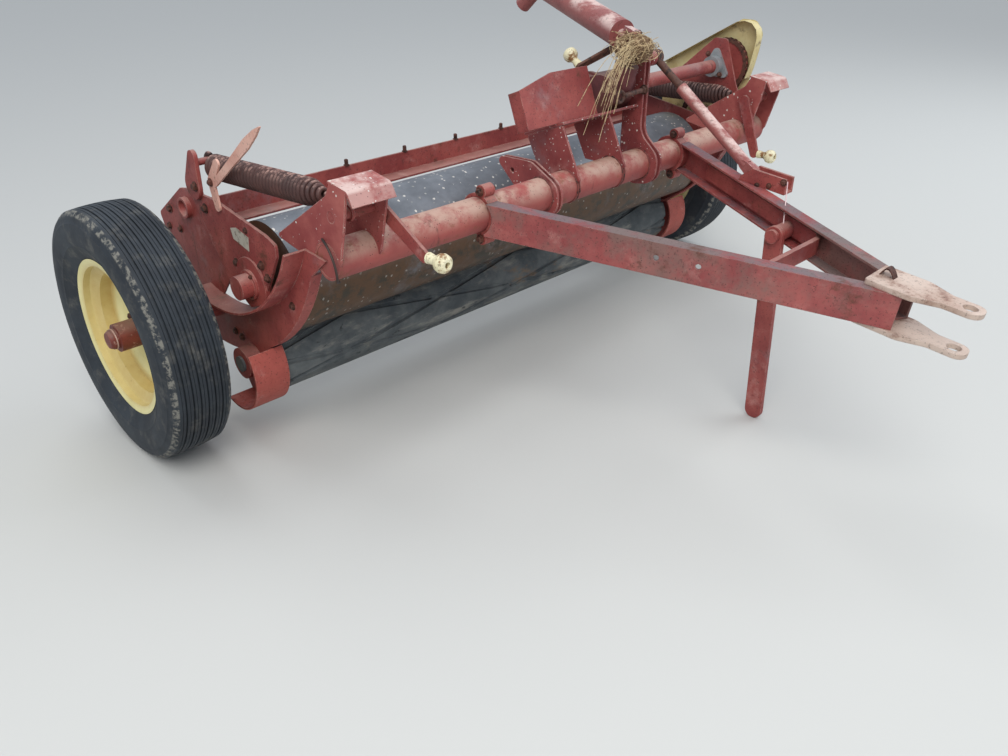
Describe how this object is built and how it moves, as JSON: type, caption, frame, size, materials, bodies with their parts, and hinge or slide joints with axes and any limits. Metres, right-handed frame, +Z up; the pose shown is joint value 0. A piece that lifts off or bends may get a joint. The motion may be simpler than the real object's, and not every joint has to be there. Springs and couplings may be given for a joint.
{
  "type": "mower conditioner",
  "caption": "Towed hay conditioner: a smooth steel roll over a grooved rubber roll between end frames on road wheels, with a V tongue, stand leg, springs and a folded driveline.",
  "frame": {"origin": "on the ground under the middle of the whole machine's bounding box", "axes": "+X along the rolls towards the chain side, +Y to the rear, so the hitch points to -Y, +Z up"},
  "size_m": [2.429, 1.9694, 1.0961],
  "materials": {
    "red_paint": "chalky red paint, faded and rust spotted",
    "worn_red_paint": "red paint mostly gone to brown rust",
    "dark_red_paint": "dark red paint under grease and dust",
    "orange_paint": "sun bleached red orange paint with rust",
    "pink_paint": "red paint bleached to pink",
    "cream_paint": "pale yellow paint, dusty",
    "yellow_paint": "yellow paint, faded",
    "silver_paint": "dull silver paint",
    "dull_steel": "dark worn steel with dull rust",
    "worn_steel": "rubbed bare steel with brown rust",
    "rusty_steel": "brown rust",
    "tyre": "weathered black rubber, matt",
    "roll_rubber": "weathered grey black rubber, matt"
  },
  "bodies": {
    "frame": {"main_tube": "red_paint", "side_frame_right": "red_paint", "side_frame_left": "red_paint", "rear_bar": "red_paint", "roll_arm_right": "red_paint", "roll_arm_left": "red_paint", "roll_guards": "orange_paint", "spindles": "red_paint", "spring_right": "rusty_steel", "spring_left": "rusty_steel", "crank_bracket_right": "red_paint", "crank_bracket_left": "red_paint", "pressure_crank_right": "red_paint", "pressure_crank_left": "red_paint", "crank_knobs": "cream_paint", "latch_lever": "pink_paint", "tube_hanger": "red_paint", "gearbox_mount": "dark_red_paint", "gearbox": "dark_red_paint", "drive_shield": "red_paint", "flange_bearing": "silver_paint", "bearing_plate": "red_paint", "drive_chain": "rusty_steel", "chain_cover": "yellow_paint"},
    "wheel_right": {"tyre_right": "tyre", "rim_right": "cream_paint", "hub_right": "worn_red_paint"},
    "wheel_left": {"tyre_left": "tyre", "rim_left": "cream_paint", "hub_left": "worn_red_paint"},
    "upper_roll": {"upper_roll": "dull_steel"},
    "lower_roll": {"lower_roll": "roll_rubber"},
    "cross_shaft": {"cross_shaft": "red_paint"},
    "tongue": {"tongue_leg_right": "red_paint", "tongue_leg_left": "red_paint", "tongue_clamps": "red_paint", "cross_strap": "red_paint", "hitch_straps": "worn_steel", "stand_pivot": "red_paint", "strut_bracket": "red_paint"},
    "stand": {"stand_leg": "red_paint"},
    "strut_tube": {"strut_tube": "red_paint"},
    "strut_screw": {"strut_screw": "rusty_steel", "strut_knob": "cream_paint"},
    "joint_cross": {"joint_cross": "rusty_steel"},
    "driveline": {"driveline": "red_paint"}
  },
  "joints": [
    {"name": "wheel_right_spin", "type": "hinge", "parent": "frame", "child": "wheel_right", "pos_m": [-1.13, 0.65068, 0.334], "axis": [1, 0, 0], "continuous": true},
    {"name": "wheel_left_spin", "type": "hinge", "parent": "frame", "child": "wheel_left", "pos_m": [1.13, 0.65068, 0.334], "axis": [1, 0, 0], "continuous": true},
    {"name": "upper_roll_spin", "type": "hinge", "parent": "frame", "child": "upper_roll", "pos_m": [0, 0.43468, 0.464], "axis": [1, 0, 0], "continuous": true},
    {"name": "lower_roll_spin", "type": "hinge", "parent": "frame", "child": "lower_roll", "pos_m": [0, 0.51568, 0.213], "axis": [1, 0, 0], "continuous": true},
    {"name": "cross_shaft_spin", "type": "hinge", "parent": "frame", "child": "cross_shaft", "pos_m": [0.65, 0.28568, 0.793], "axis": [1, 0, 0], "continuous": true},
    {"name": "tongue_pitch", "type": "hinge", "parent": "frame", "child": "tongue", "pos_m": [0, 0.11068, 0.61], "axis": [1, 0, 0], "range_deg": [-5, 5]},
    {"name": "stand_swing", "type": "hinge", "parent": "tongue", "child": "stand", "pos_m": [0.135, -0.41932, 0.546], "axis": [1, 0, 0], "range_deg": [0, 90]},
    {"name": "strut_tube_swing", "type": "hinge", "parent": "tongue", "child": "strut_tube", "pos_m": [0.3, -0.24232, 0.64], "axis": [1, 0, 0], "range_deg": [-2.2, 2.2]},
    {"name": "strut_screw_slide", "type": "slide", "parent": "strut_tube", "child": "strut_screw", "axis": [0.0724, 0.8308, 0.5518], "range_m": [-0.0195, 0.0195]},
    {"name": "driveline_fold", "type": "hinge", "parent": "frame", "child": "joint_cross", "pos_m": [0.17, 0.10568, 0.962], "axis": [0.9224, -0.3684, -0.1163], "range_deg": [0, 90]},
    {"name": "driveline_tilt", "type": "hinge", "parent": "joint_cross", "child": "driveline", "pos_m": [0.17, 0.10568, 0.962], "axis": [0.05, -0.1848, 0.9815], "range_deg": [-10, 20]}
  ],
  "couplings": [
    {"joint": "cross_shaft_spin", "follows": "upper_roll_spin", "ratio": 0.76923},
    {"joint": "strut_tube_swing", "follows": "tongue_pitch", "ratio": -0.4073},
    {"joint": "strut_screw_slide", "follows": "tongue_pitch", "m_per_rad": 0.2203}
  ]
}
